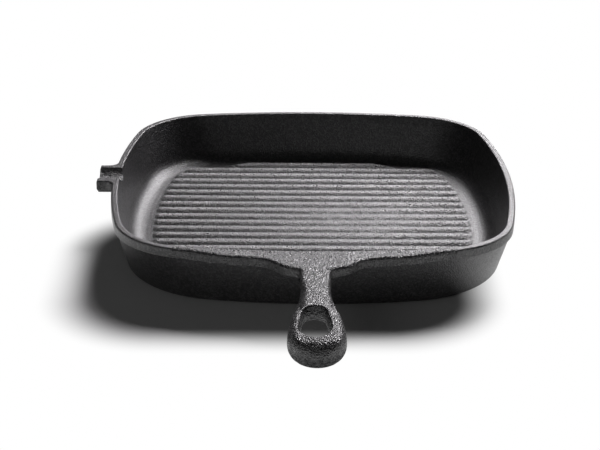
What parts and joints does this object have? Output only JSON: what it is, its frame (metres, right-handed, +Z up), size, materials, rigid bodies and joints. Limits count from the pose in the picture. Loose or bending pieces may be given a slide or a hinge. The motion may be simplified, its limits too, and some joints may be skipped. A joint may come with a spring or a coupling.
{
  "type": "grill pan",
  "caption": "Square cast iron grill pan with a ribbed floor, a pour spout at mid-side and a short handle with a hanging eye.",
  "frame": {"origin": "centre of the pan's flat underside", "axes": "+Z up out of the pan, -Y along the handle, -X towards the pour spout"},
  "size_m": [0.2702, 0.377, 0.037],
  "materials": {
    "seasoned_iron": "black seasoned cast iron with a coarse sand-cast grain"
  },
  "bodies": {
    "root": {"griddle_floor": "seasoned_iron", "handle_grip": "seasoned_iron", "handle_root": "seasoned_iron", "pour_spout": "seasoned_iron", "rim_band_left": "seasoned_iron", "rim_band_right": "seasoned_iron", "sear_rib_01": "seasoned_iron", "sear_rib_02": "seasoned_iron", "sear_rib_03": "seasoned_iron", "sear_rib_04": "seasoned_iron", "sear_rib_05": "seasoned_iron", "sear_rib_06": "seasoned_iron", "sear_rib_07": "seasoned_iron", "sear_rib_08": "seasoned_iron", "sear_rib_09": "seasoned_iron", "sear_rib_10": "seasoned_iron", "sear_rib_11": "seasoned_iron", "sear_rib_12": "seasoned_iron", "sear_rib_13": "seasoned_iron", "sear_rib_14": "seasoned_iron", "sear_rib_15": "seasoned_iron", "sear_rib_16": "seasoned_iron", "sear_rib_17": "seasoned_iron", "sear_rib_18": "seasoned_iron", "sear_rib_19": "seasoned_iron", "sear_rib_20": "seasoned_iron", "side_wall": "seasoned_iron"}
  },
  "joints": []
}
